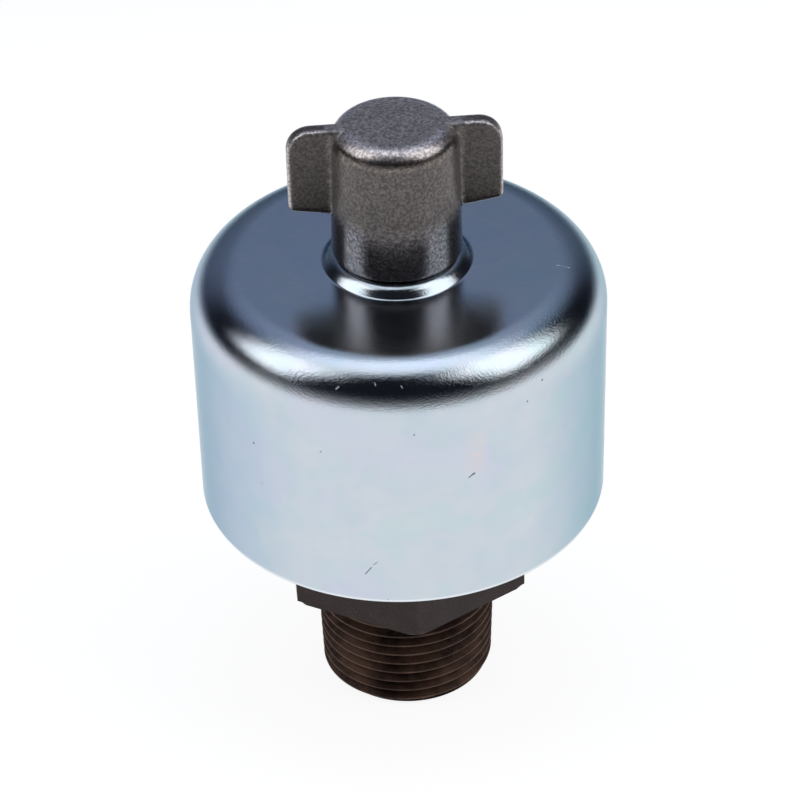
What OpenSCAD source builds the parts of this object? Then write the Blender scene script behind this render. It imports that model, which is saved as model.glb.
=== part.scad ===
// Breather vent cap: a filtered air vent that screws into the top of an oil tank.
// Millimetres, Z up, origin on the axis at the open end of the pipe thread.

/* [Cover] */
// Outside diameter of the drawn cover
cover_d = 59.5; // [56:0.5:72]
// Height of the cover from its rim to the flat crown
cover_h = 38.5; // [34:0.5:42]
// Sheet thickness of the cover
sheet_t = 1.1; // [0.8:0.1:1.4]
// Outside radius of the rolled shoulder
shoulder_r = 7; // [4:0.5:8]
// Rounding of the rim's outer edge
rim_edge_r = 0.5; // [0.2:0.1:0.7]
// Diameter of the raised boss at its foot
boss_d = 21.3; // [20.5:0.1:26]
// Height of the boss above the crown
boss_h = 1.6; // [1.5:0.1:2.4]
// Slope of the boss's side from the flat crown, in degrees
boss_slope = 47; // [42:1:50]
// Outside radius of the boss's upper edge
boss_edge_r = 2.5; // [1.5:0.1:2.6]
// Radius of the crease between the boss and the crown
boss_foot_r = 0.5; // [0.3:0.1:0.6]

/* [Wing nut] */
// Diameter of the nut at its foot
nut_d = 18.5; // [17:0.1:20]
// Diameter of the nut under its top rounding
nut_top_d = 17.7; // [16.5:0.1:18.5]
// Height of the nut
nut_h = 20.4; // [18:0.1:26]
// Rounding of the nut's top edge
nut_top_r = 2.7; // [1.5:0.1:4]
// Bevel of the nut's foot
nut_foot_bevel = 0.4; // [0.2:0.1:0.6]
// Distance across the tips of the two wings
wing_span = 30; // [26:0.5:40]
// Thickness of a wing
wing_t = 2.2; // [1.8:0.1:3]
// Height of a wing's outer edge
wing_h = 12.7; // [9:0.1:15]
// How far a wing's lower edge rises from the nut to the tip
wing_rise = 0.9; // [0:0.1:2]
// Radius of a wing's upper corner
wing_corner_r = 3.3; // [2:0.1:4]
// Bevel along a wing's edges
wing_bevel = 0.5; // [0.3:0.1:0.7]

/* [Nut seal] */
// Thickness of the seal ring
seal_t = 2.4; // [2:0.1:3]
// How far the seal stands out of the nut's foot
seal_proud = 0.3; // [0.2:0.1:0.6]
// Radial width of the seal ring
seal_w = 2.6; // [2:0.1:3]

/* [Stud] */
// Diameter of the stud's thread
stud_d = 8; // [6:0.5:8]
// Length of stud that the tightened nut grips
nut_grip = 10; // [8:0.5:12]
// Unused depth of the nut's hole above the stud
nut_spare = 2; // [1:0.5:3]
// How far the stud stands out below the bridge
stud_tail = 1; // [0.5:0.5:2]
// Bevel of the stud's ends
stud_bevel = 0.8; // [0.5:0.1:1]

/* [Lock nut] */
// Distance across the flats of the lock nut
lock_nut_af = 13; // [12:0.5:14]
// Height of the lock nut
lock_nut_h = 4; // [3:0.5:5]
// Outside diameter of the split washer
lock_washer_d = 14; // [12:0.1:15]
// Thickness of the split washer
lock_washer_t = 2; // [1.5:0.1:2.5]
// Width of the washer's split
lock_washer_split = 1.2; // [0.8:0.1:2]

/* [Filter element] */
// Outside diameter of the end caps
element_d = 46; // [44:0.5:47]
// Height of the element over its end caps
element_h = 36.1; // [32:0.1:40]
// Sheet thickness of the end caps
cap_t = 0.6; // [0.5:0.1:0.8]
// Height of the end caps' outer lip
cap_lip_h = 4.5; // [3:0.5:6]
// Rounding of the end caps' outer edge
cap_edge_r = 1.2; // [1:0.1:1.5]
// Height of the bottom cap's inner lip
cap_collar_h = 3.5; // [2:0.5:5]
// Depth of the dish in the top cap
cap_dish = 1; // [0.8:0.1:1.4]
// Wall of the perforated core
core_t = 0.6; // [0.5:0.1:1]
// Diameter of a hole in the core
core_hole_d = 4.5; // [3:0.5:5]
// Holes in one ring round the core
core_holes = 10; // [6:2:12]
// Rings of holes along the core
core_rings = 5; // [3:1:5]
// Number of pleats
pleats = 45; // [36:1:50]
// Thickness of the paper
paper_t = 0.45; // [0.35:0.05:0.5]

/* [Gaskets] */
// Thickness of the lower gasket
lower_gasket_t = 2; // [1.5:0.1:3]
// Radial width of the lower gasket
lower_gasket_w = 2.2; // [1.5:0.1:2.4]
// Room between the element and the crown
crown_gap = 0.9; // [0.5:0.1:1.5]

/* [Body] */
// Distance across the flats of the hexagon
hex_af = 34; // [33.5:0.5:38]
// Height of the hexagon
hex_h = 14; // [12:0.5:18]
// Height of the turned seat on top of the hexagon
seat_h = 1.2; // [0.8:0.1:2]
// Bevel of the hexagon's corners, measured along the radius
hex_bevel = 1; // [0.6:0.1:2]
// Major diameter of the pipe thread at its gauge plane
pipe_gauge_d = 26.441; // [26:0.001:27]
// Distance of the gauge plane from the thread's end
pipe_gauge_len = 9.5; // [8:0.1:12]
// Length of the pipe thread
pipe_len = 16.3; // [14:0.1:20]
// Pitch of the pipe thread
pipe_pitch = 1.814; // [1.4:0.001:2.4]
// Depth of the pipe thread
pipe_depth = 1.162; // [0.8:0.001:1.2]
// Bevel of the pipe thread's end
pipe_bevel = 0.7; // [0.4:0.1:1.2]
// Width of the relief under the hexagon
relief_w = 3.2; // [2:0.1:4]
// Diameter of the relief
relief_d = 23.8; // [23:0.1:24.4]
// Diameter of the air bore in the thread
bore_d = 19; // [16:0.5:20]
// Diameter of the chamber in the hexagon
chamber_d = 24.6; // [23.5:0.1:25]
// Height of the chamber's floor above the hexagon's underside
chamber_step = 1.5; // [1:0.5:2]
// Diameter of the spigot that centres the element
spigot_d = 28; // [27.5:0.1:28.2]
// Height of the spigot above the seat
spigot_h = 6; // [4:0.5:8]
// Height of the bridge that carries the stud
bridge_h = 10; // [8:0.5:11]
// Width of the bridge
bridge_w = 7; // [5:0.5:9]
// Diameter of the bridge's hub
hub_d = 14.4; // [13:0.1:15]

/* [Fits] */
// Gap between pieces that drop over each other
slip_gap = 0.3; // [0.2:0.05:0.4]
// Gap between pressed sheet pieces
press_gap = 0.1; // [0.05:0.05:0.15]
// Gap between a thread and its nut
thread_gap = 0.05; // [0.02:0.01:0.1]
// Gap round the stud where it passes through
stud_gap = 0.5; // [0.3:0.1:0.7]

/* [Hidden] */
$fn = 96;

// A taper pipe thread widens by 1 in 16 on its diameter
pipe_taper = 1 / 32;
// Flat on the crests and roots of a pipe thread, as a share of its pitch
pipe_flat = 1 / 6;
// Half the angle between two corners of a hexagon
hex_half = 30;
// Slope of the bevel on hexagon corners
bevel_slope = tan(30);
// Facets of a wing's rounded corner, for a full circle
wing_corner_fn = 64;
// Overlap that keeps cuts clean
cut = 1;

// Heights, from the thread's end upwards
hex_z = pipe_len + relief_w;
chamber_z = hex_z + chamber_step;
seat_z = hex_z + hex_h;
bridge_z = seat_z - bridge_h;
lock_nut_z = seat_z + lock_washer_t;
element_z = seat_z + lower_gasket_t;
media_z = element_z + cap_t;
element_top = element_z + element_h;
media_top = element_top - cap_t;
crown_in_z = element_top + crown_gap;
crown_z = crown_in_z + sheet_t;
rim_z = crown_z - cover_h;
boss_z = crown_z + boss_h;
foot_z = boss_z + seal_proud;
seal_top = boss_z + seal_t;
stud_top = seal_top + nut_grip;
nut_top = foot_z + nut_h;

// Radii
cover_r = cover_d / 2;
boss_r = boss_d / 2;
boss_bend = boss_edge_r * (1 - cos(boss_slope));
boss_flat_r = boss_r - (boss_h - boss_bend) / tan(boss_slope) - boss_edge_r * sin(boss_slope);
stud_r = stud_d / 2;
stud_hole_r = stud_r + stud_gap;
relief_r = relief_d / 2;
nut_thread_r = stud_r + thread_gap;
seal_r = stud_hole_r + seal_w;
spigot_r = spigot_d / 2;
collar_r = spigot_r + slip_gap;
lower_gasket_r = collar_r + lower_gasket_w;
seat_r = lower_gasket_r + slip_gap;
core_in_r = collar_r + cap_t + press_gap;
core_out_r = core_in_r + core_t;
element_r = element_d / 2;
media_in_r = core_out_r + press_gap;
media_out_r = element_r - cap_edge_r;

// Section of a ring
module band(r_in, r_out, z_low, z_high) {
    translate([r_in, z_low])
        square([r_out - r_in, z_high - z_low]);
}

// Section of a round block with its upper edge rounded
module domed(r, z_low, z_high, edge_r) {
    band(0, r, z_low, z_high - edge_r);
    band(0, r - edge_r, z_low, z_high);
    translate([r - edge_r, z_high - edge_r])
        circle(edge_r);
}

// Section of a boss with sloping sides and a rounded upper edge, its foot at (foot_r, z_foot)
module sloped(foot_r, z_low, z_foot, z_top, edge_r) {
    bend = edge_r * (1 - cos(boss_slope));
    bend_r = foot_r - (z_top - z_foot - bend) / tan(boss_slope);
    flat_r = bend_r - edge_r * sin(boss_slope);
    polygon([
        [0, z_low], [foot_r, z_low], [foot_r, z_foot], [bend_r, z_top - bend], [flat_r, z_top], [0, z_top]
    ]);
    intersection() {
        translate([flat_r, z_top - edge_r])
            circle(edge_r);
        band(0, foot_r, z_low, z_top);
    }
}

// Section of what fills the corner at a sloped boss's foot, rounded by corner_r
module crease(foot_r, z_foot, corner_r) {
    reach = corner_r * tan(boss_slope / 2);
    difference() {
        polygon([
            [foot_r, z_foot], [foot_r + reach, z_foot],
            [foot_r - reach * cos(boss_slope), z_foot + reach * sin(boss_slope)]
        ]);
        translate([foot_r + reach, z_foot + corner_r])
            circle(corner_r);
    }
}

// Plain ring
module ring(r_in, r_out, z_low, z_high) {
    rotate_extrude()
        band(r_in, r_out, z_low, z_high);
}

// Corner radius of a hexagon
function hex_corner(across) = across / 2 / cos(hex_half);

// Hexagon with bevelled corners, two of them on the Y axis
module hexagon(across, z_low, z_high, bevel) {
    corner_r = hex_corner(across);
    rise = (bevel + cut) * bevel_slope;
    intersection() {
        translate([0, 0, z_low])
            rotate([0, 0, hex_half])
                cylinder(r = corner_r, h = z_high - z_low, $fn = 6);
        rotate_extrude()
            polygon([
                [0, z_low], [corner_r - bevel, z_low], [corner_r + cut, z_low + rise],
                [corner_r + cut, z_high - rise], [corner_r - bevel, z_high], [0, z_high]
            ]);
    }
}

// Major radius of the pipe thread at a height
function pipe_r(z) = pipe_gauge_d / 2 + (z - pipe_gauge_len) * pipe_taper;

// Section of one groove of the pipe thread
module pipe_groove(z) {
    root_half = pipe_pitch * pipe_flat / 2;
    mouth_half = pipe_pitch / 2 - root_half;
    flank = (mouth_half - root_half) / pipe_depth;
    root_r = pipe_r(z) - pipe_depth;
    open_r = pipe_r(z) + cut;
    open_half = mouth_half + cut * flank;
    polygon([
        [root_r, z - root_half], [open_r, z - open_half],
        [open_r, z + open_half], [root_r, z + root_half]
    ]);
}

// Turned outside of the body below the hexagon, its taper thread drawn as rings
module pipe_end() {
    grooves = floor(pipe_len / pipe_pitch + pipe_flat / 2);
    rotate_extrude()
        difference() {
            polygon([
                [0, 0], [pipe_r(0) - pipe_bevel, 0], [pipe_r(pipe_bevel), pipe_bevel],
                [pipe_r(pipe_len), pipe_len], [relief_r, pipe_len + pipe_r(pipe_len) - relief_r],
                [relief_r, hex_z + cut], [0, hex_z + cut]
            ]);
            for (i = [0:grooves - 1])
                pipe_groove((i + 0.5) * pipe_pitch);
        }
}

// Bar and hub across the chamber, cast with the body
module bridge() {
    translate([0, 0, bridge_z])
        cylinder(d = hub_d, h = bridge_h);
    intersection() {
        translate([-chamber_d / 2 - cut, -bridge_w / 2, bridge_z])
            cube([chamber_d + 2 * cut, bridge_w, bridge_h]);
        translate([0, 0, bridge_z])
            cylinder(r = (chamber_d + spigot_d) / 4, h = bridge_h);
    }
}

module body() {
    color("#4a3a36")
    difference() {
        union() {
            difference() {
                union() {
                    pipe_end();
                    hexagon(hex_af, hex_z, seat_z - seat_h, hex_bevel);
                    translate([0, 0, seat_z - seat_h - cut])
                        cylinder(r = seat_r, h = seat_h + cut);
                    translate([0, 0, seat_z - cut])
                        cylinder(d = spigot_d, h = spigot_h + cut);
                }
                translate([0, 0, -cut])
                    cylinder(d = bore_d, h = chamber_z + 2 * cut);
                translate([0, 0, chamber_z])
                    cylinder(d = chamber_d, h = seat_z + spigot_h - chamber_z + cut);
            }
            bridge();
        }
        translate([0, 0, bridge_z - cut])
            cylinder(r = nut_thread_r, h = bridge_h + 2 * cut);
    }
}

module stud() {
    stud_z = bridge_z - stud_tail;
    color("#b9bcc0")
    rotate_extrude()
        polygon([
            [0, stud_z], [stud_r - stud_bevel, stud_z], [stud_r, stud_z + stud_bevel],
            [stud_r, stud_top - stud_bevel], [stud_r - stud_bevel, stud_top], [0, stud_top]
        ]);
}

module lock_washer() {
    color("#8d9096")
    difference() {
        ring(nut_thread_r + slip_gap, lock_washer_d / 2, seat_z, lock_nut_z);
        translate([0, -lock_washer_split / 2, seat_z - cut])
            cube([lock_washer_d, lock_washer_split, lock_washer_t + 2 * cut]);
    }
}

module lock_nut() {
    corner_bevel = hex_corner(lock_nut_af) - lock_nut_af / 2;
    color("#a4a7ac")
    difference() {
        hexagon(lock_nut_af, lock_nut_z, lock_nut_z + lock_nut_h, corner_bevel);
        translate([0, 0, lock_nut_z - cut])
            cylinder(r = nut_thread_r, h = lock_nut_h + 2 * cut);
    }
}

module lower_gasket() {
    color("#202022")
        ring(collar_r, lower_gasket_r, seat_z, element_z);
}

module bottom_end_cap() {
    color("#c9ccd1")
    rotate_extrude() {
        band(collar_r, collar_r + cap_t, element_z, media_z + cap_collar_h);
        difference() {
            mirror([0, 1])
                domed(element_r, -element_z - cap_lip_h, -element_z, cap_edge_r);
            mirror([0, 1])
                domed(element_r - cap_t, -element_z - cap_lip_h - cut, -media_z, cap_edge_r - cap_t);
            band(0, collar_r, element_z - cut, element_z + cap_lip_h + cut);
        }
    }
}

module element_core() {
    ring_step = (media_top - media_z) / (core_rings + 1);
    color("#b4b7bc")
    difference() {
        ring(core_in_r, core_out_r, media_z, media_top);
        for (level = [1:core_rings], turn = [0:core_holes - 1])
            rotate([0, 0, (turn + (level % 2) / 2) * 360 / core_holes])
                translate([core_in_r - cut, 0, media_z + level * ring_step])
                    rotate([0, 90, 0])
                        cylinder(d = core_hole_d, h = core_t + 2 * cut);
    }
}

// Point at a distance along the circumference from the angle of a pleat
function pleat_point(r, angle, along) =
    [r * cos(angle + along / r * 180 / PI), r * sin(angle + along / r * 180 / PI)];

// Outline of one face of the pleated paper, from its crests and roots and the half widths of their folds
function pleat_outline(r_crest, r_root, crest_half, root_half) = [
    for (i = [0:pleats - 1])
        let (crest = i * 360 / pleats, root = (i + 0.5) * 360 / pleats)
        each [
            pleat_point(r_crest, crest, -crest_half), pleat_point(r_crest, crest, crest_half),
            pleat_point(r_root, root, -root_half), pleat_point(r_root, root, root_half)
        ]
];

module pleated_media() {
    fold_in = paper_t / 2;
    fold_out = fold_in + paper_t;
    color("#d8c08c")
    translate([0, 0, media_z])
        linear_extrude(media_top - media_z)
            difference() {
                polygon(pleat_outline(media_out_r, media_in_r + paper_t, fold_out, fold_in));
                polygon(pleat_outline(media_out_r - paper_t, media_in_r, fold_in, fold_out));
            }
}

module top_end_cap() {
    dish_z = element_top - cap_dish;
    dish_r = collar_r + cap_t;
    color("#c9ccd1")
    rotate_extrude() {
        difference() {
            domed(element_r, element_top - cap_lip_h, element_top, cap_edge_r);
            domed(element_r - cap_t, element_top - cap_lip_h - cut, media_top, cap_edge_r - cap_t);
            band(0, collar_r, media_top - cut, element_top + cut);
        }
        band(collar_r, dish_r, dish_z - cap_t, element_top);
        band(stud_hole_r, dish_r, dish_z - cap_t, dish_z);
    }
}

module upper_gasket() {
    color("#202022")
        ring(stud_hole_r, boss_flat_r - slip_gap, element_top - cap_dish, boss_z - sheet_t);
}

module cover() {
    hollow_r = boss_r - sheet_t * tan(boss_slope / 2);
    color("#c3ccd8")
    rotate_extrude()
        difference() {
            union() {
                domed(cover_r, rim_z, crown_z, shoulder_r);
                sloped(boss_r, crown_in_z, crown_z, boss_z, boss_edge_r);
                crease(boss_r, crown_z, boss_foot_r);
            }
            domed(cover_r - sheet_t, rim_z - cut, crown_in_z, shoulder_r - sheet_t);
            sloped(hollow_r, crown_in_z - cut, crown_in_z, boss_z - sheet_t, boss_edge_r - sheet_t);
            crease(hollow_r, crown_in_z, boss_foot_r + sheet_t);
            band(0, stud_hole_r, rim_z, boss_z + cut);
            translate([cover_r - rim_edge_r, rim_z])
                difference() {
                    square(rim_edge_r + cut);
                    band(0, rim_edge_r, rim_edge_r, rim_edge_r + 2 * cut);
                    translate([0, rim_edge_r])
                        circle(rim_edge_r);
                }
        }
}

module nut_seal() {
    color("#202022")
        ring(stud_hole_r, seal_r, boss_z, seal_top);
}

// Outline of one wing, drawn in by inset on every free edge
module wing_outline(inset) {
    tip = wing_span / 2 - inset;
    top = wing_h + wing_rise - inset;
    difference() {
        polygon([[0, inset], [nut_d / 2, inset], [tip, wing_rise + inset], [tip, top], [0, top]]);
        translate([tip - wing_corner_r + inset, top - wing_corner_r + inset])
            difference() {
                square(wing_corner_r + cut);
                circle(wing_corner_r - inset, $fn = wing_corner_fn);
            }
    }
}

// One wing along +X with bevelled edges
module wing() {
    hull()
        for (inset = [0, wing_bevel])
            rotate([90, 0, 0])
                linear_extrude(wing_t - 2 * (wing_bevel - inset), center = true)
                    wing_outline(inset);
}

module wing_nut() {
    wing_z = nut_top - wing_h - wing_rise;
    side_z = nut_top - nut_top_r;
    top_r = nut_top_d / 2;
    color("#6b6361")
    difference() {
        union() {
            rotate_extrude() {
                polygon([
                    [0, foot_z], [nut_d / 2 - nut_foot_bevel, foot_z], [nut_d / 2, foot_z + nut_foot_bevel],
                    [top_r, side_z], [0, side_z]
                ]);
                domed(top_r, side_z - cut, nut_top, nut_top_r);
            }
            for (side = [0, 180])
                rotate([0, 0, side])
                    translate([0, 0, wing_z])
                        wing();
        }
        ring(0, seal_r + slip_gap, foot_z - cut, seal_top);
        translate([0, 0, seal_top - cut])
            cylinder(r = nut_thread_r, h = nut_grip + nut_spare + cut);
    }
}

body();
stud();
lock_washer();
lock_nut();
lower_gasket();
bottom_end_cap();
element_core();
pleated_media();
top_end_cap();
upper_gasket();
cover();
nut_seal();
wing_nut();
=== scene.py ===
import math

import bmesh
import bpy
from mathutils import Matrix, Vector


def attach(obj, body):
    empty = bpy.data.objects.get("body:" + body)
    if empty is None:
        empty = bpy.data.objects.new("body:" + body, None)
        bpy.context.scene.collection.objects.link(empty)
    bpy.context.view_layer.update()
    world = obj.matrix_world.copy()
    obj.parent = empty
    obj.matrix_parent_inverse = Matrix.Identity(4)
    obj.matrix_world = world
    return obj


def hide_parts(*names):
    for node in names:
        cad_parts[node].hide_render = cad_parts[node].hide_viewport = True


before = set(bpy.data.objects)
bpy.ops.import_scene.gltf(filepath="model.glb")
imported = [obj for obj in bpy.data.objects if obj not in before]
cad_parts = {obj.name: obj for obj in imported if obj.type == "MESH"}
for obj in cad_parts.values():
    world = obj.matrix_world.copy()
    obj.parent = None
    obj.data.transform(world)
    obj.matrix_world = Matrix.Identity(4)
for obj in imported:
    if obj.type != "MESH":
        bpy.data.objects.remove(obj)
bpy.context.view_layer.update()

# Sizes are in millimetres until a finished piece is brought to metres
MM = 0.001
FULL_TURN = 2 * math.pi
SECTORS = 12
JOIN = 1e-4

# Heights from the open end of the pipe thread
THREAD_TOP = 16.3
RELIEF_LOW = THREAD_TOP + 0.6
RIDGE_TOP = THREAD_TOP + 1.2
RUNOUT_TOP = THREAD_TOP + 1.6
HEX_LOW = 19.5
CHAMBER_LOW = 21.0
STUD_LOW = 22.5
BRIDGE_LOW = 23.5
HEX_TOP = 32.3
SEAT = 33.5
RIM = 34.85
ELEMENT_LOW = 35.5
SPIGOT_TOP = 39.5
ELEMENT_TOP = 71.6
CROWN = 73.6
BOSS_TOP = 75.2
NUT_FOOT = 75.5
SEAL_TOP = 77.6
STUD_TOP = 87.6
NUT_BORE_TOP = STUD_TOP + 2.0
NUT_TOP = 95.9

# Drawn cover
COVER_R = 29.75
SHEET = 1.1
SHOULDER_R = 7.0
CROWN_R = COVER_R - SHOULDER_R
WALL_TOP = CROWN - SHOULDER_R
BOSS_R = 10.65
BOSS_EDGE_R = 2.5
BOSS_FOOT_R = 0.5
BOSS_SLOPE = math.radians(47)
STUD_HOLE_R = 4.5
# Painted reflection: the wall's sides, between these distances from the middle, are painted bluer and darker
SIDE_REFLECTION_FROM = 16.0
SIDE_REFLECTION_TO = 23.0

# Body with its hexagon, its seat and the bridge that holds the stud
HEX_ACROSS = 34.0
HEX_BEVEL = 0.6
RELIEF_R = 11.9
RUNOUT_R = RELIEF_R - 0.1
BORE_R = 9.5
CHAMBER_R = 12.3
SPIGOT_R = 14.0
SEAT_R = 16.8
HUB_R = 7.2
BAR_ROOT = 6.0
BAR_END = CHAMBER_R + 0.4
BAR_WIDTH = 7.0
BAR_HEIGHT = SEAT - BRIDGE_LOW - 0.1

# Taper pipe thread and metric stud thread; the ridge's half width and rounding are shares of the pitch
RIDGE_HALF = 0.49
RIDGE_ROUNDING = 0.137
RIDGE_TURNS = (0.0, 25.0, 45.0, 62.5)
PIPE_PITCH = 1.814
PIPE_DEPTH = 1.162
PIPE_TAPER = 1 / 32
PIPE_GAUGE_R = 26.441 / 2
PIPE_GAUGE_LENGTH = 9.5
PIPE_END_R = PIPE_GAUGE_R - PIPE_GAUGE_LENGTH * PIPE_TAPER
PIPE_BEVEL = 0.7
STUD_R = 4.0
STUD_PITCH = 1.25
STUD_DEPTH = 0.72
STUD_BEVEL = 0.8
STUD_END_GAP = 0.1

# Wing nut and its seal
SEAL_R = 7.1
SEAL_ROOM = 0.3
STUD_ROOM = 0.05
NUT_FOOT_R = 9.25
NUT_HEAD_R = 8.85
NUT_ROUNDING = 2.7
NUT_VOXEL = 0.18
NUT_SMOOTHING = 10
WING_ROOT = 6.0
WING_TIP = 15.0
WING_THICK = 2.7
WING_EDGE_R = 0.65
WING_LOW = 82.3
WING_RISE = 0.9
WING_FOOT_R = 0.7
WING_CORNER_R = 3.3

# End caps of the filter element, and the gaskets
TIN = 0.6
CAP_R = 23.0
CAP_BORE_R = 14.3
CAP_LIP = 4.5
CAP_NECK = 3.5
CAP_DISH = 1.0
CAP_BEND_OUT = 1.2
CAP_BEND_IN = 0.6
LOWER_GASKET_R = 16.5
UPPER_GASKET_R = 7.77

# Roundings of edges
CUT_EDGE = 0.1
RIM_EDGE = 0.15
SMALL_EDGE = 0.2
HOLE_EDGE = 0.25
BROKEN_EDGE = 0.3
NECK_EDGE = 0.4
SOFT_EDGE = 0.5

# Marks on the cover, each from one point to another with half its width
LIGHT_MARKS = [
    ((-10.8, -26.2, 70.8), (-10.4, -26.1, 71.1), 0.10),
    ((-5.6, -26.6, 71.9), (-5.5, -27.1, 71.6), 0.09),
    ((-2.1, -27.6, 71.6), (-1.9, -27.8, 71.3), 0.08),
    ((22.0, -4.6, 73.6), (23.8, -5.3, 73.4), 0.09)]
SCORES = [
    ((-7.9, -28.7, 40.0), (-7.0, -28.9, 41.3), 0.10),
    ((-6.7, -29.0, 41.8), (-6.2, -29.1, 42.3), 0.07),
    ((6.8, -28.9, 56.1), (7.4, -28.8, 56.5), 0.15),
    ((7.4, -28.8, 56.5), (7.6, -28.7, 56.6), 0.22)]
PITS = [
    ((-0.7, -29.7, 64.7), (-0.6, -29.7, 64.8), 0.13),
    ((-13.3, -26.6, 60.6), (-13.2, -26.6, 60.7), 0.12),
    ((-21.4, -20.6, 51.1), (-21.4, -20.6, 51.2), 0.12),
    ((-22.2, -19.8, 57.7), (-22.2, -19.8, 57.8), 0.18),
    ((17.5, -23.9, 68.0), (17.6, -23.8, 68.1), 0.15),
    ((15.3, -25.5, 65.8), (15.3, -25.5, 65.9), 0.14),
    ((-4.9, -29.3, 35.5), (-4.8, -29.3, 35.5), 0.13)]
STAIN = ((7.8, -28.7, 57.8), (7.9, -28.7, 62.4), 2.1)

# Bodies of the part
ROOT = "breather"
SEAL_BODY = "seal"
NUT_BODY = "nut"

# Studio, in metres
FLOOR_HALF = 3.0
FLOOR_WHITE = 1.39
FLOOR_WHITE_SHARE = 0.7
FADE_FROM = 0.15
FADE_TO = 0.60
LIGHT_AIM = (0, 0, 0.06)
SOFT_WHITE = (0.98, 0.99, 1.0)
COOL_WHITE = (0.92, 0.96, 1.0)
BACKDROP_WAY = (0.06, 0.5, 0.864)

# Camera of the photograph: angles in degrees, its aim and distance, and its lens on a sensor in millimetres
CAMERA_LIFT = 36.954
CAMERA_SWING = -4.4
CAMERA_ROLL = -1.512
CAMERA_SHIFT = -0.00016
CAMERA_AIM_HEIGHT = 0.0484
CAMERA_DISTANCE = 0.45544
CAMERA_LENS = 140.25
CAMERA_SENSOR = 36.0
CAMERA_NEAR = 0.01


# Drawing in millimetres

def only_verts(geometry):
    return [g for g in geometry if isinstance(g, bmesh.types.BMVert)]


def rounded_edges(bm, edges, rounding, steps):
    bmesh.ops.bevel(bm, geom=edges, offset=rounding, offset_type="OFFSET", segments=steps,
                    profile=0.5, affect="EDGES", material=-1)


def section(bm, corners, arc_steps=10, guard=0.25):
    """Draws a closed section in the XZ plane from its corners (radius, height, rounding)."""
    points = [bm.verts.new((corner[0], 0.0, corner[1])) for corner in corners]
    for start, end in zip(points, points[1:] + points[:1]):
        bm.edges.new((start, end))
    places = [point.co.copy() for point in points]
    for i, corner in enumerate(corners):
        rounding = corner[2] if len(corner) > 2 else 0.0
        if not rounding:
            continue
        before = (places[i] - places[i - 1]).normalized()
        after = (places[(i + 1) % len(places)] - places[i]).normalized()
        reach = rounding * math.tan(before.angle(after) / 2)
        bmesh.ops.bevel(bm, geom=[points[i]], offset=reach, offset_type="OFFSET", segments=arc_steps,
                        profile=0.5, affect="VERTICES", material=-1)
    # A short edge at both ends of a long one keeps flat faces flat beside their roundings
    for edge in [e for e in bm.edges if e.is_wire and e.calc_length() > 4 * guard]:
        length = edge.calc_length()
        near, far = edge.verts
        short, _ = bmesh.utils.edge_split(edge, near, guard / length)
        rest = edge if far in edge.verts else short
        bmesh.utils.edge_split(rest, far, guard / (length - guard))
    return [v for v in bm.verts if v.is_wire] + [e for e in bm.edges if e.is_wire]


def ring(inner, outer, low, top, edge):
    """Corners of a plain ring, all with the same rounding."""
    return [(inner, low, edge), (outer, low, edge), (outer, top, edge), (inner, top, edge)]


def repeat(bm, count, step):
    """Copies all that is drawn so far, each copy one step further than the last, and joins the seams."""
    drawn = bm.verts[:] + bm.edges[:] + bm.faces[:]
    move = Matrix.Identity(4)
    for _ in range(count - 1):
        move = step @ move
        copy = bmesh.ops.duplicate(bm, geom=drawn)["geom"]
        bmesh.ops.transform(bm, matrix=move, verts=only_verts(copy))
    bmesh.ops.remove_doubles(bm, verts=bm.verts, dist=JOIN)


def spun(bm, corners, steps, arc_steps):
    """Turns a closed section round the Z axis, one sector first and then its copies."""
    drawn = section(bm, corners, arc_steps)
    sector = FULL_TURN / SECTORS
    bmesh.ops.spin(bm, geom=drawn, axis=(0, 0, 1), cent=(0, 0, 0), dvec=(0, 0, 0),
                   angle=sector, steps=steps // SECTORS, use_merge=False, use_duplicate=False)
    repeat(bm, SECTORS, Matrix.Rotation(sector, 4, "Z"))
    bmesh.ops.recalc_face_normals(bm, faces=bm.faces)


def between(z, line):
    """Radius at a height on a line of (height, radius) points."""
    for (z0, r0), (z1, r1) in zip(line, line[1:]):
        if z <= z1:
            return r0 + (r1 - r0) * (z - z0) / (z1 - z0)
    return line[-1][1]


def to_radius(vert, radius):
    """Moves a point straight out from the Z axis, or in, to a radius."""
    share = radius / math.hypot(vert.co.x, vert.co.y)
    vert.co.x *= share
    vert.co.y *= share


def ridge_shape(radius, pitch, depth, sink):
    """Half of a thread's ridge with rounded root and crest, and its mirror image above."""
    root, half, rounding = radius - depth, RIDGE_HALF * pitch, RIDGE_ROUNDING * pitch
    turns = [math.radians(degrees) for degrees in RIDGE_TURNS]
    hollow = [(root + rounding * (1 - math.cos(a)), rounding * math.sin(a) - half) for a in turns]
    crest = [(radius - rounding * (1 - math.cos(a)), -rounding * math.sin(a)) for a in reversed(turns)]
    rise = [(root - sink, -half)] + hollow + crest
    return rise + [(r, -z) for r, z in reversed(rise[:-1])]


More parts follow.
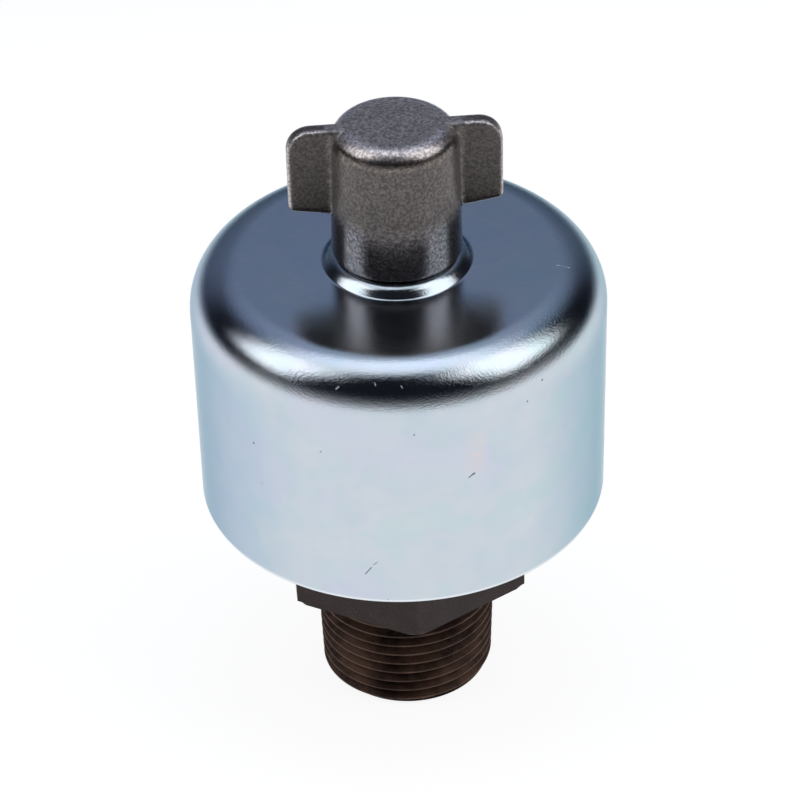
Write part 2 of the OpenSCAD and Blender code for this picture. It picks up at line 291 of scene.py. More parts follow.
def thread_ridge(bm, radius, pitch, depth, low, high, limit, taper=0.0, steps=72, sink=0.2):
    """A helical ridge that stays inside the limit line of (height, radius) points."""
    ridge = bmesh.new()
    shape = ridge_shape(radius, pitch, depth, sink)
    points = [ridge.verts.new((r, 0.0, low - pitch + z)) for r, z in shape]
    loop = [ridge.edges.new(pair) for pair in zip(points, points[1:] + points[:1])]
    bmesh.ops.spin(ridge, geom=points + loop, axis=(0, 0, 1), cent=(0, 0, 0), dvec=(0, 0, pitch / steps),
                   angle=FULL_TURN, steps=steps, use_merge=False, use_duplicate=False)
    repeat(ridge, math.ceil((high - low) / pitch) + 2, Matrix.Translation((0, 0, pitch)))
    for vert in ridge.verts:
        wanted = math.hypot(vert.co.x, vert.co.y) + taper * vert.co.z
        to_radius(vert, min(wanted, between(vert.co.z, limit)))
    for height, side in ((low, -1), (high, 1)):
        cut = bmesh.ops.bisect_plane(ridge, geom=ridge.verts[:] + ridge.edges[:] + ridge.faces[:],
                                     plane_co=(0, 0, height), plane_no=(0, 0, side), clear_outer=True)
        rim = [e for e in cut["geom_cut"] if isinstance(e, bmesh.types.BMEdge)]
        bmesh.ops.triangle_fill(ridge, edges=rim, use_beauty=True)
    join(bm, ridge)


def join(bm, other):
    """Puts a finished bmesh into another one."""
    bmesh.ops.recalc_face_normals(other, faces=other.faces)
    carrier = bpy.data.meshes.new("carrier")
    other.to_mesh(carrier)
    other.free()
    bm.from_mesh(carrier)
    bpy.data.meshes.remove(carrier)


def new_object(name, bm):
    """Makes an object of a bmesh and puts it in the scene."""
    mesh = bpy.data.meshes.new(name)
    bm.to_mesh(mesh)
    bm.free()
    obj = bpy.data.objects.new(name, mesh)
    bpy.context.scene.collection.objects.link(obj)
    return obj


def piece(name, bm, node, body, material, sharp=35.0):
    """Makes an object of a bmesh in millimetres and puts it in the place of a CAD node."""
    bmesh.ops.transform(bm, matrix=Matrix.Scale(MM, 4), verts=bm.verts)
    obj = new_object(name, bm)
    obj.data.shade_smooth()
    obj.data.set_sharp_from_angle(angle=math.radians(sharp))
    obj.data.materials.append(material)
    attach(obj, body)
    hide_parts(node)


def turned_piece(name, corners, node, body, material, steps=168, arc_steps=8):
    """A piece that is one turned section."""
    bm = bmesh.new()
    spun(bm, corners, steps, arc_steps)
    piece(name, bm, node, body, material)


# Nodes of materials

def connect(tree, source, socket):
    """Links an output to an input, or gives the input a plain value."""
    if hasattr(source, "is_output"):
        tree.links.new(source, socket)
    else:
        socket.default_value = source


def add_node(tree, kind, inputs=None, **properties):
    """A node with its properties set by name and its inputs linked or set by socket."""
    node = tree.nodes.new(kind)
    for key, value in properties.items():
        setattr(node, key, value)
    for socket, source in (inputs or {}).items():
        connect(tree, source, node.inputs[socket])
    return node


def colour(red, green, blue):
    return (red, green, blue, 1.0)


def grey(level):
    return colour(level, level, level)


def ramp(tree, source, stops, interpolation="LINEAR"):
    """Colours at places from 0 to 1."""
    node = add_node(tree, "ShaderNodeValToRGB", {"Fac": source})
    node.color_ramp.interpolation = interpolation
    elements = node.color_ramp.elements
    while len(elements) < len(stops):
        elements.new(0.5)
    for element, (place, value) in zip(elements, stops):
        element.position = place
        element.color = value
    return node.outputs["Color"]


def span(tree, source, low, high, to_low=0.0, to_high=1.0):
    """Brings a stretch of values to another one; what lies outside gets the value of its end."""
    node = add_node(tree, "ShaderNodeMapRange", {"Value": source, "From Min": low, "From Max": high,
                                                 "To Min": to_low, "To Max": to_high})
    return node.outputs["Result"]


def maths(tree, operation, first, second=0.0, clamp=False):
    node = add_node(tree, "ShaderNodeMath", {0: first, 1: second}, operation=operation, use_clamp=clamp)
    return node.outputs["Value"]


def product(tree, *factors):
    total = factors[0]
    for factor in factors[1:]:
        total = maths(tree, "MULTIPLY", total, factor)
    return total


def largest(tree, *masks):
    total = masks[0]
    for mask in masks[1:]:
        total = maths(tree, "MAXIMUM", total, mask)
    return total


def vector_maths(tree, operation, inputs, output="Vector"):
    return add_node(tree, "ShaderNodeVectorMath", inputs, operation=operation).outputs[output]


def mixed(tree, factor, first, second, blend="MIX"):
    """The first colour with a share of the second; the numbers are the colour sockets of the node."""
    node = add_node(tree, "ShaderNodeMix", {0: factor, 6: first, 7: second},
                    data_type="RGBA", blend_type=blend)
    return node.outputs[2]


def noise(tree, place, scale, detail, roughness):
    node = add_node(tree, "ShaderNodeTexNoise", {"Vector": place, "Scale": scale, "Detail": detail,
                                                 "Roughness": roughness})
    return node.outputs["Fac"]


def bump(tree, height, depth, strength=1.0):
    """A relief of a depth in millimetres."""
    node = add_node(tree, "ShaderNodeBump", {"Height": height, "Distance": depth * MM, "Strength": strength})
    return node.outputs["Normal"]


def millimetres(tree):
    """Object coordinates of a piece, in millimetres."""
    place = add_node(tree, "ShaderNodeTexCoord").outputs["Object"]
    return vector_maths(tree, "SCALE", {0: place, "Scale": 1 / MM})


def axes_of(tree, place):
    return add_node(tree, "ShaderNodeSeparateXYZ", {"Vector": place}).outputs


def axis_distance(tree, place):
    """Distance of a place from the Z axis."""
    flat = vector_maths(tree, "MULTIPLY", {0: place, 1: (1.0, 1.0, 0.0)})
    return vector_maths(tree, "LENGTH", {0: flat}, "Value")


def new_group(name, inputs, outputs):
    """A node group with inputs and outputs given as labels and kinds of socket."""
    group = bpy.data.node_groups.new(name, "ShaderNodeTree")
    for way, sockets in (("INPUT", inputs), ("OUTPUT", outputs)):
        for label, kind in sockets.items():
            group.interface.new_socket(label, in_out=way, socket_type=kind)
    return group, group.nodes.new("NodeGroupInput").outputs, group.nodes.new("NodeGroupOutput").inputs


def use_group(tree, group, inputs):
    return add_node(tree, "ShaderNodeGroup", inputs, node_tree=group).outputs


def grain_group():
    """Rough surface: rounded grains of a size in millimetres, and the tops of the highest of them."""
    group, given, made = new_group("surface grain", {"Place": "NodeSocketVector", "Size": "NodeSocketFloat"},
                                   {"Height": "NodeSocketFloat", "Tops": "NodeSocketFloat"})
    scale = maths(group, "DIVIDE", 1.0, given["Size"])
    coarse = noise(group, given["Place"], scale, detail=3.0, roughness=0.6)
    fine = noise(group, given["Place"], product(group, scale, 2.7), detail=2.0, roughness=0.5)
    height = maths(group, "ADD", coarse, product(group, fine, 0.45))
    connect(group, height, made["Height"])
    connect(group, span(group, height, 0.78, 0.95), made["Tops"])
    return group


def mark_group():
    """A short line on the surface from one point to another, fading to both sides."""
    group, given, made = new_group("line mark", {"Place": "NodeSocketVector", "From": "NodeSocketVector",
                                                 "To": "NodeSocketVector", "Width": "NodeSocketFloat"},
                                   {"Mask": "NodeSocketFloat"})
    way = vector_maths(group, "SUBTRACT", {0: given["Place"], 1: given["From"]})
    line = vector_maths(group, "SUBTRACT", {0: given["To"], 1: given["From"]})
    along = vector_maths(group, "DOT_PRODUCT", {0: way, 1: line}, "Value")
    whole = vector_maths(group, "DOT_PRODUCT", {0: line, 1: line}, "Value")
    share = maths(group, "DIVIDE", along, whole, clamp=True)
    foot = vector_maths(group, "SCALE", {0: line, "Scale": share})
    gap = vector_maths(group, "DISTANCE", {0: way, 1: foot}, "Value")
    near = maths(group, "DIVIDE", gap, given["Width"])
    connect(group, span(group, near, 0.35, 1.0, 1.0, 0.0), made["Mask"])
    return group


GRAIN = grain_group()
MARK = mark_group()


def grained(tree, place, size):
    return use_group(tree, GRAIN, {"Place": place, "Size": size})


def marked(tree, place, marks):
    """One mask for several line marks."""
    masks = [use_group(tree, MARK, {"Place": place, "From": start, "To": end, "Width": half})["Mask"]
             for start, end, half in marks]
    return largest(tree, *masks)


# Materials

def new_material(name):
    material = bpy.data.materials.new(name)
    material.use_nodes = True
    return material, material.node_tree, material.node_tree.nodes["Principled BSDF"]


def dress(tree, shader, looks):
    """Links or sets several inputs of a shader."""
    for socket, source in looks.items():
        connect(tree, source, shader.inputs[socket])


def zinc_tint_and_side_reflection(tree, place, axes):
    """Faint patches of violet, blue, pale and green under a thin haze, with a painted reflection: bluer,
    darker sides on the wall.
    """
    violet = colour(0.57, 0.612, 0.71)
    blue = colour(0.545, 0.625, 0.69)
    pale = colour(0.58, 0.63, 0.69)
    green = colour(0.54, 0.64, 0.68)
    haze = colour(0.66, 0.69, 0.725)
    painted_side_reflection = colour(0.87, 0.935, 0.965)
    patches = noise(tree, place, scale=0.085, detail=3.0, roughness=0.55)
    drift = maths(tree, "ADD", patches, span(tree, axes["X"], -COVER_R, COVER_R, -0.16, 0.16))
    tint = ramp(tree, drift, [(0.34, violet), (0.46, blue), (0.56, pale), (0.66, green)], "EASE")
    film = noise(tree, place, scale=0.22, detail=3.0, roughness=0.55)
    hazy = mixed(tree, span(tree, film, 0.35, 0.7, 0.0, 0.30), tint, haze)
    # Painted reflection: the sides of the wall, where it turns away from the camera, are painted bluer and
    # darker
    side_reflection_mask = span(tree, maths(tree, "ABSOLUTE", axes["X"]), SIDE_REFLECTION_FROM, SIDE_REFLECTION_TO)
    on_wall = span(tree, axes["Z"], WALL_TOP - 2.0, WALL_TOP + 2.0, 1.0, 0.0)
    return mixed(tree, product(tree, side_reflection_mask, on_wall), hazy, painted_side_reflection, "MULTIPLY")


def zinc_wear(tree, place, axes, tint):
    """The tint with a cloudy stain, dark scores and pits, and a painted highlight: a pale band along the
    rim's lower edge.
    """
    rust = colour(0.78, 0.63, 0.58)
    dirt = colour(0.06, 0.055, 0.05)
    # Pale colour of the painted highlight along the rim's lower edge
    cut = colour(0.80, 0.83, 0.86)
    cloudy = span(tree, noise(tree, place, scale=0.6, detail=3.0, roughness=0.6), 0.35, 0.65, 0.12, 0.42)
    stain = product(tree, maths(tree, "POWER", marked(tree, place, [STAIN]), 1.6), cloudy)
    stained = mixed(tree, stain, tint, rust)
    scored = mixed(tree, product(tree, marked(tree, place, SCORES + PITS), 0.9), stained, dirt)
    # Painted highlight: the rim's rounding and a little above it are painted pale
    rim_highlight_band = span(tree, axes["Z"], RIM + SOFT_EDGE, RIM + 1.5 * SOFT_EDGE, 1.0, 0.0)
    return mixed(tree, rim_highlight_band, scored, cut)


def zinc_plated_sheet():
    """Bright zinc with the grain of drawn sheet, which is strongest on the rolled shoulder."""
    material, tree, shader = new_material("zinc_plated_sheet")
    place = millimetres(tree)
    axes = axes_of(tree, place)
    worn = zinc_wear(tree, place, axes, zinc_tint_and_side_reflection(tree, place, axes))
    scuffs = marked(tree, place, LIGHT_MARKS)
    stretched = product(tree, span(tree, axes["Z"], WALL_TOP - 2.0, WALL_TOP + 1.0, 0.3, 1.0),
                        span(tree, axis_distance(tree, place), CROWN_R - 1.0, CROWN_R + 2.0, 0.5, 1.0))
    dullness = span(tree, noise(tree, place, scale=0.5, detail=4.0, roughness=0.6), 0.3, 0.7, 0.13, 0.17)
    sheen = span(tree, stretched, 0.5, 1.0, 0.0, 0.05)
    peel = product(tree, maths(tree, "SUBTRACT", grained(tree, place, size=0.3)["Height"], 0.72), stretched)
    dress(tree, shader, {
        "Base Color": mixed(tree, scuffs, worn, grey(0.9)),
        "Metallic": maths(tree, "SUBTRACT", 1.0, scuffs),
        "Roughness": maths(tree, "SUBTRACT", dullness, sheen),
        "Specular Tint": colour(0.53, 0.65, 0.71),
        "Normal": bump(tree, peel, depth=0.029)})
    return material


def nut_edges(tree, axes, radius, on_wing):
    """Masks of the nut's top rounding and of the long edges of its wings."""
    rounding_low, rounding_r = NUT_TOP - NUT_ROUNDING, NUT_HEAD_R - NUT_ROUNDING
    half = WING_THICK / 2
    edge_from = half - WING_EDGE_R
    beside = maths(tree, "ABSOLUTE", axes["Y"])
    high = span(tree, axes["Z"], rounding_low - 0.1, rounding_low + 0.5)
    outer = span(tree, radius, rounding_r - 0.2, rounding_r + 0.7)
    off_wing = span(tree, beside, half + 0.2, half + 1.2)
    off_middle = span(tree, beside, edge_from - 0.25, edge_from + 0.05)
    off_face = span(tree, beside, half - 0.2, half - 0.05, 1.0, 0.0)
    return product(tree, high, outer, off_wing), product(tree, off_middle, off_face, on_wing, 0.8)


def cast_nut():
    """Dark cast metal with light grains, lighter on the top face and darker on the wings; bare metal on the
    roundings, the wing edges and the foot, with a painted highlight in pink-white on the upper top rounding
    and the long wing edges, and a painted reflection of the cover on the barrel's lower band.
    """
    material, tree, shader = new_material("cast_nut")
    place = millimetres(tree)
    axes = axes_of(tree, place)
    radius = axis_distance(tree, place)
    on_wing = span(tree, radius, NUT_FOOT_R + 0.1, NUT_FOOT_R + 0.6)
    on_top = span(tree, axes["Z"], NUT_TOP - 0.6, NUT_TOP - 0.2)
    on_foot = span(tree, axes["Z"], WING_LOW - 0.2, WING_LOW + 2.6, 1.0, 0.0)
    on_rounding, on_edge = nut_edges(tree, axes, radius, on_wing)
    near_top = span(tree, axes["Z"], NUT_TOP - 1.4, NUT_TOP - 0.9)
    # Painted highlight: the upper part of the top rounding and the long edges of the wings
    painted_highlight = largest(tree, product(tree, on_rounding, near_top), on_edge)
    bare = largest(tree, on_rounding, on_edge, on_foot)
    clouds = noise(tree, place, scale=0.3, detail=3.0, roughness=0.6)
    dull = ramp(tree, clouds, [(0.35, colour(0.255, 0.225, 0.215)), (0.65, colour(0.30, 0.26, 0.235))])
    # Painted reflection: the barrel's lower band is painted a lighter violet-grey, standing in for the
    # cover's crown mirrored in it
    painted_foot_reflection = mixed(tree, on_foot, dull, colour(0.37, 0.34, 0.355))
    topped = mixed(tree, on_top, painted_foot_reflection, colour(0.40, 0.37, 0.385))
    winged = mixed(tree, on_wing, topped, colour(0.165, 0.14, 0.13))
    # Painted highlight in pink-white
    bright = mixed(tree, painted_highlight, winged, colour(0.92, 0.83, 0.83))
    grain = grained(tree, place, size=0.42)["Height"]
    grains = ramp(tree, grain, [(0.58, grey(0.34)), (0.72, grey(0.60)), (0.88, grey(1.0))])
    polished = maths(tree, "SUBTRACT", bare, painted_highlight, clamp=True)
    rough_cast = product(tree, grain, span(tree, on_foot, 0.0, 1.0, 1.0, 0.5))
    dress(tree, shader, {
        "Base Color": mixed(tree, 1.0, bright, grains, "MULTIPLY"),
        "Metallic": span(tree, bare, 0.0, 1.0, 0.3, 0.9),
        "Roughness": span(tree, polished, 0.0, 1.0, 0.31, 0.21),
        "Normal": bump(tree, rough_cast, depth=0.028)})
    return material


def phosphated_steel():
    """Brown phosphated steel, with rust and scale on the thread."""
    material, tree, shader = new_material("phosphated_steel")
    place = millimetres(tree)
    grain = grained(tree, place, size=0.25)
    clouds = noise(tree, place, scale=0.22, detail=3.0, roughness=0.6)
    base = ramp(tree, clouds, [(0.3, colour(0.028, 0.020, 0.018)), (0.7, colour(0.042, 0.030, 0.028))])
    rust = ramp(tree, noise(tree, place, scale=0.16, detail=4.0, roughness=0.65),
                [(0.38, colour(0.040, 0.022, 0.017)), (0.62, colour(0.16, 0.092, 0.064))])
    on_thread = span(tree, axes_of(tree, place)["Z"], THREAD_TOP - 1.0, THREAD_TOP + 2.0, 1.0, 0.0)
    rusty = mixed(tree, on_thread, base, rust)
    scale = product(tree, noise(tree, place, scale=1.1, detail=3.0, roughness=0.6), on_thread, 3.0)
    dress(tree, shader, {
        "Base Color": mixed(tree, product(tree, grain["Tops"], 0.4), rusty, colour(0.14, 0.10, 0.085)),
        "Metallic": 0.55,
        "Roughness": span(tree, on_thread, 0.0, 1.0, 0.42, 0.56),
        "Specular IOR Level": 0.3,
        "Normal": bump(tree, maths(tree, "ADD", grain["Height"], scale), depth=0.02, strength=0.8)})
    return material


def seal_rubber():
    material, tree, shader = new_material("seal_rubber")
    grain = grained(tree, millimetres(tree), size=0.3)["Height"]
    dress(tree, shader, {
        "Base Color": ramp(tree, grain, [(0.5, grey(0.012)), (0.95, grey(0.028))]),
        "Roughness": span(tree, grain, 0.5, 1.0, 0.62, 0.5),
        "Normal": bump(tree, grain, depth=0.02, strength=0.5)})
    return material


def cloudy_metal(name, scale, dark, light, smooth, rough):
    """Plain metal with a soft cloudy sheen between two colours and two roughnesses."""
    material, tree, shader = new_material(name)
    clouds = noise(tree, millimetres(tree), scale, detail=4.0, roughness=0.6)
    dress(tree, shader, {
        "Base Color": ramp(tree, clouds, [(0.3, dark), (0.7, light)]),
        "Metallic": 1.0,
        "Roughness": span(tree, clouds, 0.3, 0.7, smooth, rough)})
    return material


def filter_paper():
    material, tree, shader = new_material("filter_paper")
    grain = grained(tree, millimetres(tree), size=0.5)["Height"]
    dress(tree, shader, {
        "Base Color": ramp(tree, grain, [(0.5, colour(0.56, 0.44, 0.25)), (0.95, colour(0.72, 0.60, 0.38))]),
        "Roughness": 0.85,
        "Normal": bump(tree, grain, depth=0.04, strength=0.6)})
    return material


ZINC = zinc_plated_sheet()
CAST = cast_nut()
BROWN = phosphated_steel()
RUBBER = seal_rubber()
STEEL = cloudy_metal("bright_steel", 0.6, colour(0.52, 0.53, 0.55), colour(0.63, 0.64, 0.66), 0.28, 0.42)
TINNED = cloudy_metal("tinned_sheet", 0.35, colour(0.58, 0.59, 0.60), colour(0.70, 0.71, 0.71), 0.22, 0.36)
PAPER = filter_paper()


# Pieces

def drawn_cover():
    inner_r, inner_crown = COVER_R - SHEET, CROWN - SHEET
    hollow_r, hollow_top = BOSS_R - SHEET * math.tan(BOSS_SLOPE / 2), BOSS_TOP - SHEET
    slant = (BOSS_TOP - CROWN) / math.tan(BOSS_SLOPE)
    turned_piece("drawn_cover", [
        (inner_r, RIM, RIM_EDGE), (COVER_R, RIM, SOFT_EDGE), (COVER_R, CROWN, SHOULDER_R),
        (BOSS_R, CROWN, BOSS_FOOT_R), (BOSS_R - slant, BOSS_TOP, BOSS_EDGE_R),
        (STUD_HOLE_R, BOSS_TOP, HOLE_EDGE), (STUD_HOLE_R, hollow_top, CUT_EDGE),
        (hollow_r - slant, hollow_top, BOSS_EDGE_R - SHEET), (hollow_r, inner_crown, BOSS_FOOT_R + SHEET),
        (inner_r, inner_crown, SHOULDER_R - SHEET)],
        "cover", ROOT, ZINC, steps=264, arc_steps=20)


def hexagon_radius(x, y, across):
    """Distance from the axis to a hexagon's face, with two corners on the Y axis."""
    sixth = FULL_TURN / 6
    turn = (math.atan2(y, x) + sixth / 2) % sixth - sixth / 2
    return across / 2 / math.cos(turn)


def hexagon_body(bm):
    """Turned blank of the body, with its collar cut to a hexagon that has bevelled corners."""
    corner = HEX_ACROSS / 2 / math.cos(math.pi / 6)
    bevel_r = corner - HEX_BEVEL
    slope = math.tan(math.pi / 6)
    root = PIPE_END_R - PIPE_DEPTH
    spun(bm, [
        (BORE_R, 0.0, BROKEN_EDGE), (root, 0.0, CUT_EDGE), (root + THREAD_TOP * PIPE_TAPER, THREAD_TOP),
        (RELIEF_R, RELIEF_LOW, BROKEN_EDGE), (RELIEF_R, HEX_LOW, NECK_EDGE),
        (bevel_r, HEX_LOW), (corner, HEX_LOW + HEX_BEVEL * slope),
        (corner, HEX_TOP - HEX_BEVEL * slope), (bevel_r, HEX_TOP),
        (SEAT_R, HEX_TOP, SMALL_EDGE), (SEAT_R, SEAT, SMALL_EDGE),
        (SPIGOT_R, SEAT, SMALL_EDGE), (SPIGOT_R, SPIGOT_TOP, SOFT_EDGE),
        (CHAMBER_R, SPIGOT_TOP, BROKEN_EDGE), (CHAMBER_R, CHAMBER_LOW, BROKEN_EDGE),
        (BORE_R, CHAMBER_LOW, BROKEN_EDGE)], steps=288, arc_steps=4)
    for vert in bm.verts:
        flat = math.hypot(vert.co.x, vert.co.y)
        if flat <= HEX_ACROSS / 2:
            continue
        reach = min(flat, hexagon_radius(vert.co.x, vert.co.y, HEX_ACROSS))
        drop = max(0.0, reach - bevel_r) * slope
        vert.co.z = min(max(vert.co.z, HEX_LOW + drop), HEX_TOP - drop)
        to_radius(vert, reach)
    bmesh.ops.remove_doubles(bm, verts=bm.verts, dist=JOIN)
    bmesh.ops.recalc_face_normals(bm, faces=bm.faces)


def stud_bridge(bm):
    """Hub that holds the stud, on two bars that run into the chamber's wall."""
    hub = bmesh.new()
    spun(hub, [(STUD_R, BRIDGE_LOW, SMALL_EDGE), (HUB_R, BRIDGE_LOW, SOFT_EDGE), (HUB_R, SEAT, SOFT_EDGE),
               (STUD_R, SEAT, SMALL_EDGE)], steps=96, arc_steps=3)
    join(bm, hub)
    for side in (-1, 1):
        bar = bmesh.new()
        bmesh.ops.create_cube(bar, size=1.0)
        bmesh.ops.scale(bar, vec=(BAR_END - BAR_ROOT, BAR_WIDTH, BAR_HEIGHT), verts=bar.verts)
        rounded_edges(bar, bar.edges[:], NECK_EDGE, 2)
        middle = (side * (BAR_END + BAR_ROOT) / 2, 0, (SEAT + BRIDGE_LOW) / 2)
        bmesh.ops.translate(bar, vec=middle, verts=bar.verts)
        join(bm, bar)


def threaded_body():
    bm = bmesh.new()
    hexagon_body(bm)
    thread_ridge(bm, PIPE_END_R, PIPE_PITCH, PIPE_DEPTH, 0.0, RIDGE_TOP, [
        (-PIPE_PITCH * 2, PIPE_END_R - PIPE_BEVEL), (0.0, PIPE_END_R - PIPE_BEVEL),
        (PIPE_BEVEL, PIPE_END_R + PIPE_BEVEL * PIPE_TAPER),
        (THREAD_TOP, PIPE_END_R + THREAD_TOP * PIPE_TAPER),
        (RUNOUT_TOP, RUNOUT_R)], PIPE_TAPER, steps=96)
    stud_bridge(bm)
    piece("threaded_body", bm, "body", ROOT, BROWN, sharp=30.0)


def threaded_stud():
    root = STUD_R - STUD_DEPTH
    bm = bmesh.new()
    spun(bm, [(0.0, STUD_LOW), (root, STUD_LOW, BROKEN_EDGE), (root, STUD_TOP, BROKEN_EDGE), (0.0, STUD_TOP)],
         steps=60, arc_steps=3)
    thread_ridge(bm, STUD_R, STUD_PITCH, STUD_DEPTH, STUD_LOW + STUD_END_GAP, STUD_TOP - STUD_END_GAP, [
        (STUD_LOW - 3 * STUD_PITCH, root), (STUD_LOW, root), (STUD_LOW + STUD_BEVEL, STUD_R),
        (STUD_TOP - STUD_BEVEL, STUD_R), (STUD_TOP, root), (STUD_TOP + 3 * STUD_PITCH, root)], steps=48)
    piece("threaded_stud", bm, "stud", ROOT, STEEL)


def wing_blank(side):
    """One wing with rounded edges, its root inside the barrel."""
    bm = bmesh.new()
    section(bm, [(WING_ROOT, WING_LOW), (NUT_FOOT_R, WING_LOW), (WING_TIP, WING_LOW + WING_RISE, WING_FOOT_R),
                 (WING_TIP, NUT_TOP, WING_CORNER_R), (WING_ROOT, NUT_TOP)])
    face = bmesh.ops.contextual_create(bm, geom=bm.edges[:])["faces"]
    grown = bmesh.ops.extrude_face_region(bm, geom=face)["geom"]
    bmesh.ops.translate(bm, vec=(0, WING_THICK, 0), verts=only_verts(grown))
    bmesh.ops.translate(bm, vec=(0, -WING_THICK / 2, 0), verts=bm.verts)
    bmesh.ops.recalc_face_normals(bm, faces=bm.faces)
    outline = [e for e in bm.edges if e.verts[0].co.y * e.verts[1].co.y > 0]
    rounded_edges(bm, outline, WING_EDGE_R, 4)
    turn = Matrix.Rotation(math.pi if side < 0 else 0.0, 3, "Z")
    bmesh.ops.rotate(bm, cent=(0, 0, 0), matrix=turn, verts=bm.verts)
    return bm


def one_skin(bm):
    """Melts overlapping shapes into one soft skin, as a casting has."""
    blank = new_object("nut_blank", bm)
    remesh = blank.modifiers.new("one skin", "REMESH")
    remesh.mode = "VOXEL"
    remesh.voxel_size = NUT_VOXEL
    bpy.context.view_layer.update()
    skin = bmesh.new()
    skin.from_mesh(blank.evaluated_get(bpy.context.evaluated_depsgraph_get()).to_mesh())
    bpy.data.objects.remove(blank)
    for _ in range(NUT_SMOOTHING):
        bmesh.ops.smooth_vert(skin, verts=skin.verts, factor=0.5,
                              use_axis_x=True, use_axis_y=True, use_axis_z=True)
    return skin


def cast_wing_nut():
    seal_r, bore_r = SEAL_R + SEAL_ROOM, STUD_R + STUD_ROOM
    bm = bmesh.new()
    spun(bm, [
        (seal_r, NUT_FOOT), (seal_r, SEAL_TOP), (bore_r, SEAL_TOP), (bore_r, NUT_BORE_TOP),
        (0.0, NUT_BORE_TOP), (0.0, NUT_TOP), (NUT_HEAD_R, NUT_TOP, NUT_ROUNDING),
        (NUT_FOOT_R, NUT_FOOT, NECK_EDGE)], steps=168, arc_steps=10)
    for side in (-1, 1):
        join(bm, wing_blank(side))
    piece("cast_wing_nut", one_skin(bm), "wing_nut", NUT_BODY, CAST, sharp=80.0)


def gaskets():
    turned_piece("rubber_nut_seal", ring(STUD_HOLE_R, SEAL_R, BOSS_TOP, SEAL_TOP, BROKEN_EDGE),
                 "nut_seal", SEAL_BODY, RUBBER)
    turned_piece("rubber_lower_gasket", ring(CAP_BORE_R, LOWER_GASKET_R, SEAT, ELEMENT_LOW, SMALL_EDGE),
                 "lower_gasket", ROOT, RUBBER)
    turned_piece("rubber_upper_gasket",
                 ring(STUD_HOLE_R, UPPER_GASKET_R, ELEMENT_TOP - CAP_DISH, BOSS_TOP - SHEET, SMALL_EDGE),
                 "upper_gasket", ROOT, RUBBER)


def element_end_caps():
    edge_r, neck_r = CAP_R - TIN, CAP_BORE_R + TIN
    floor, lip_top = ELEMENT_LOW + TIN, ELEMENT_LOW + CAP_LIP
    neck_top = floor + CAP_NECK
    turned_piece("stamped_bottom_cap", [
        (CAP_BORE_R, ELEMENT_LOW, SMALL_EDGE), (CAP_R, ELEMENT_LOW, CAP_BEND_OUT),
        (CAP_R, lip_top, CUT_EDGE), (edge_r, lip_top, CUT_EDGE), (edge_r, floor, CAP_BEND_IN),
        (neck_r, floor, CUT_EDGE), (neck_r, neck_top, CUT_EDGE), (CAP_BORE_R, neck_top, CUT_EDGE)],
        "bottom_end_cap", ROOT, TINNED)
    roof, lip_low = ELEMENT_TOP - TIN, ELEMENT_TOP - CAP_LIP
    dish_top, dish_low = ELEMENT_TOP - CAP_DISH, roof - CAP_DISH
    turned_piece("stamped_top_cap", [
        (edge_r, lip_low, CUT_EDGE), (CAP_R, lip_low, CUT_EDGE), (CAP_R, ELEMENT_TOP, CAP_BEND_OUT),
        (CAP_BORE_R, ELEMENT_TOP, SMALL_EDGE), (CAP_BORE_R, dish_top, SMALL_EDGE),
        (STUD_HOLE_R, dish_top, CUT_EDGE), (STUD_HOLE_R, dish_low, CUT_EDGE),
        (neck_r, dish_low, SMALL_EDGE), (neck_r, roof, SMALL_EDGE), (edge_r, roof, CAP_BEND_IN)],
        "top_end_cap", ROOT, TINNED)


drawn_cover()
threaded_body()
threaded_stud()
cast_wing_nut()
gaskets()
element_end_caps()
for node, material in (("lock_nut", STEEL), ("lock_washer", STEEL),
                       ("element_core", TINNED), ("pleated_media", PAPER)):
    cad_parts[node].data.materials.clear()
    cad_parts[node].data.materials.append(material)


# Studio

def pale_floor():
    """White floor that fades to blue-grey far behind the part, outside the photograph."""
    bm = bmesh.new()
    bmesh.ops.create_grid(bm, x_segments=1, y_segments=1, size=FLOOR_HALF)
    floor = new_object("pale_floor", bm)
    material, tree, shader = new_material("pale_floor")
    away = axes_of(tree, add_node(tree, "ShaderNodeTexCoord").outputs["Object"])["Y"]
    pale = ramp(tree, span(tree, away, FADE_FROM, FADE_TO),
                [(0.0, grey(0.92)), (1.0, colour(0.38, 0.42, 0.48))], "EASE")
    dress(tree, shader, {"Base Color": pale, "Roughness": 0.9, "Specular IOR Level": 0.1})
    ray = add_node(tree, "ShaderNodeLightPath").outputs
    seen = maths(tree, "ADD", maths(tree, "ADD", ray["Is Camera Ray"], ray["Is Glossy Ray"]),
                 ray["Is Transmission Ray"], clamp=True)
    white = add_node(tree, "ShaderNodeEmission", {"Color": pale, "Strength": FLOOR_WHITE})
    both = add_node(tree, "ShaderNodeMixShader", {0: product(tree, seen, FLOOR_WHITE_SHARE),
                                                  1: shader.outputs["BSDF"], 2: white.outputs["Emission"]})
    connect(tree, both.outputs["Shader"], tree.nodes["Material Output"].inputs["Surface"])
    floor.data.materials.append(material)


def studio_light(name, place, width, depth, power, tint):
    lamp = bpy.data.lights.new(name, "AREA")
    lamp.shape = "RECTANGLE"
    lamp.size, lamp.size_y = width, depth
    lamp.energy = power
    lamp.color = tint
    obj = bpy.data.objects.new(name, lamp)
    bpy.context.scene.collection.objects.link(obj)
    obj.location = place
    obj.rotation_euler = (Vector(LIGHT_AIM) - Vector(place)).to_track_quat("-Z", "Y").to_euler()


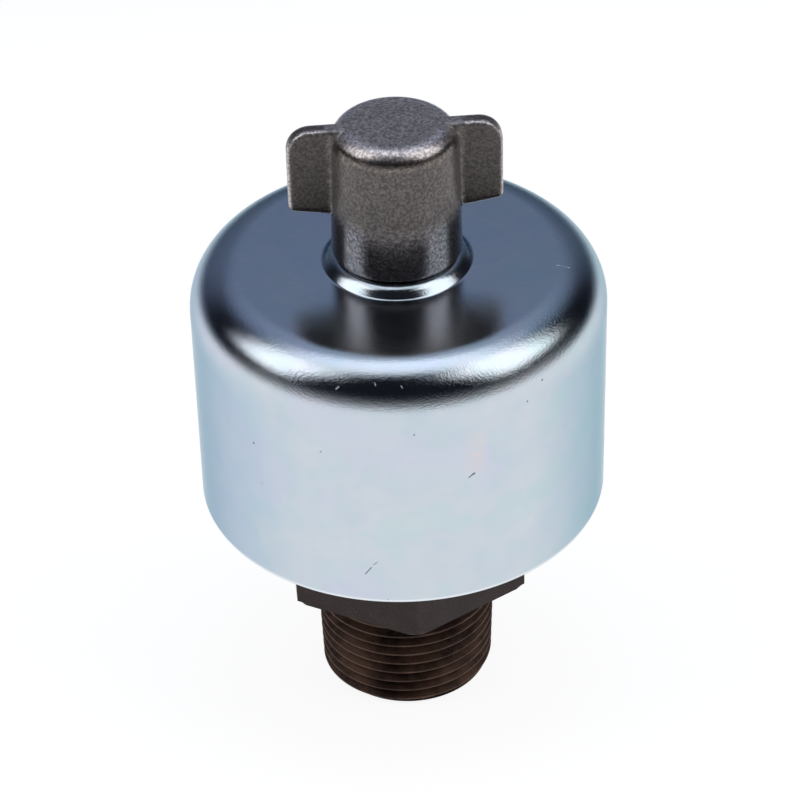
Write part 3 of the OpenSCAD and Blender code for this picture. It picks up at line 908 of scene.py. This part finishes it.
def studio_world():
    """A dark room with a pale backdrop high up, a dim wall behind and a low glow on the camera's side."""
    world = bpy.data.worlds.new("studio")
    world.use_nodes = True
    bpy.context.scene.world = world
    tree = world.node_tree
    way = add_node(tree, "ShaderNodeTexCoord").outputs["Generated"]
    axes = axes_of(tree, way)
    patch = vector_maths(tree, "DOT_PRODUCT", {0: way, 1: BACKDROP_WAY}, "Value")
    shade = ramp(tree, patch, [
        (0.70, colour(0.010, 0.011, 0.016)), (0.80, colour(0.05, 0.06, 0.085)),
        (0.87, colour(0.16, 0.20, 0.29)), (0.92, colour(0.195, 0.24, 0.345)),
        (0.966, colour(0.29, 0.34, 0.46)), (1.0, colour(0.45, 0.52, 0.62))])
    wall = ramp(tree, axes["Z"], [
        (0.0, colour(0.09, 0.11, 0.155)), (0.4, colour(0.13, 0.16, 0.23)), (0.8, grey(0.0))])
    behind = span(tree, axes["Y"], 0.6, 0.85)
    backed = mixed(tree, behind, shade, wall, "LIGHTEN")
    glow = ramp(tree, axes["Z"], [(0.0, grey(0.5)), (0.1, grey(0.36)), (0.26, grey(0.12)), (0.42, grey(0.0))])
    front = span(tree, axes["Y"], 0.3, -0.3)
    connect(tree, mixed(tree, front, backed, glow, "ADD"), tree.nodes["Background"].inputs["Color"])


def photograph_camera():
    lift, swing, roll = (math.radians(angle) for angle in (CAMERA_LIFT, CAMERA_SWING, CAMERA_ROLL))
    back = Vector((math.cos(lift) * math.sin(swing), -math.cos(lift) * math.cos(swing), math.sin(lift)))
    level = Vector((math.cos(swing), math.sin(swing), 0.0))
    rise = back.cross(level)
    right = level * math.cos(roll) + rise * math.sin(roll)
    up = rise * math.cos(roll) - level * math.sin(roll)
    place = level * CAMERA_SHIFT + Vector((0, 0, CAMERA_AIM_HEIGHT)) + back * CAMERA_DISTANCE
    camera = bpy.data.cameras.new("photograph_camera")
    camera.sensor_width = CAMERA_SENSOR
    camera.lens = CAMERA_LENS
    camera.clip_start = CAMERA_NEAR
    obj = bpy.data.objects.new("photograph_camera", camera)
    bpy.context.scene.collection.objects.link(obj)
    obj.matrix_world = Matrix.Translation(place) @ Matrix((right, up, back)).transposed().to_4x4()
    bpy.context.scene.camera = obj


pale_floor()
studio_world()
studio_light("left_soft_box", (-0.54, -0.03, 0.60), width=0.44, depth=0.54, power=1.2, tint=SOFT_WHITE)
studio_light("right_soft_box", (0.48, -0.155, 0.62), width=0.5, depth=0.54, power=1.35, tint=SOFT_WHITE)
studio_light("roof_panel", (0, 0.06, 0.75), width=0.62, depth=0.42, power=0.85, tint=COOL_WHITE)
photograph_camera()
bpy.context.scene.view_settings.view_transform = "Standard"
